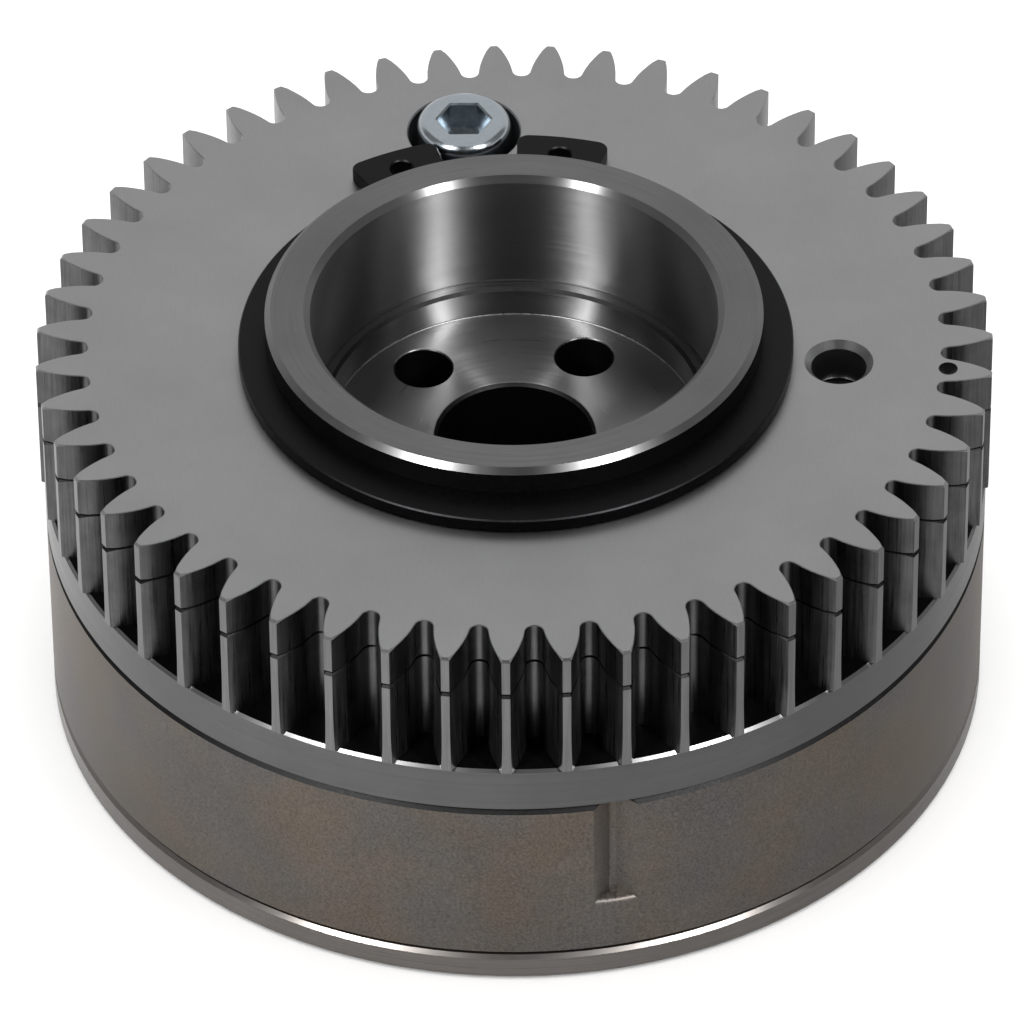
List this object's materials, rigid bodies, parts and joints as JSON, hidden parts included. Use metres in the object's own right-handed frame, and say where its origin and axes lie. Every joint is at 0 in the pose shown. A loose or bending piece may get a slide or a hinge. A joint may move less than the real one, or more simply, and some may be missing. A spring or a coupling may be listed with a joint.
{
  "type": "cam phaser",
  "caption": "Hydraulic vane cam phaser with a split anti-backlash gear, a bored collar for the camshaft, a retaining ring, a stop screw and a notched housing on a flat rear cover.",
  "frame": {"origin": "on the turning axis, at the rear face of the rear cover, which it stands on", "axes": "+Z along the turning axis from the rear cover to the camshaft side; seen with -Y in front, the stop screw is at the back and the housing's notch in front"},
  "size_m": [0.0999, 0.1, 0.0491],
  "materials": {
    "gear_steel": "hobbed and hardened, streaked along the teeth",
    "ground_steel": "fine ground, matte",
    "black_oxide": "satin black oxide",
    "zinc_plate": "bright bluish zinc plate",
    "spring_steel": "plain",
    "sintered_steel": "steam treated sintered steel, mottled",
    "turned_steel": "turned",
    "rotor_steel": "turned",
    "seal_polymer": "plain"
  },
  "bodies": {
    "drive": {"drive_gear": "gear_steel", "stator_housing": "sintered_steel", "rear_cover": "turned_steel", "cover_screws": "black_oxide", "stop_screw": "zinc_plate", "retaining_ring": "black_oxide", "gear_spring": "spring_steel", "anchor_pin": "spring_steel", "lock_bush": "spring_steel", "housing_dowel": "spring_steel", "cover_dowel": "spring_steel"},
    "scissor": {"scissor_gear": "ground_steel", "moving_pin": "spring_steel"},
    "rotor": {"rotor": "rotor_steel", "lock_cap": "rotor_steel", "lock_spring": "spring_steel", "cam_dowel": "spring_steel", "vane_seal_1": "seal_polymer", "vane_seal_2": "seal_polymer", "vane_seal_3": "seal_polymer", "vane_seal_4": "seal_polymer", "vane_seal_5": "seal_polymer", "seal_spring_1": "spring_steel", "seal_spring_2": "spring_steel", "seal_spring_3": "spring_steel", "seal_spring_4": "spring_steel", "seal_spring_5": "spring_steel"},
    "lock_pin": {"lock_pin": "spring_steel"}
  },
  "joints": [
    {"name": "rotor_phase", "type": "hinge", "parent": "drive", "child": "rotor", "pos_m": [0, 0, 0.0134], "axis": [0, 0, 1], "range_deg": [-0.4, 22.4]},
    {"name": "scissor_play", "type": "hinge", "parent": "drive", "child": "scissor", "pos_m": [0, 0, 0.04225], "axis": [0, 0, 1], "range_deg": [-1.5, 1.5], "stiffness_Nm_per_rad": 5, "deforming": ["gear_spring"]},
    {"name": "lock_pin_slide", "type": "slide", "parent": "rotor", "child": "lock_pin", "axis": [0, 0, 1], "range_m": [0, 0.0025], "deforming": ["lock_spring"]}
  ]
}
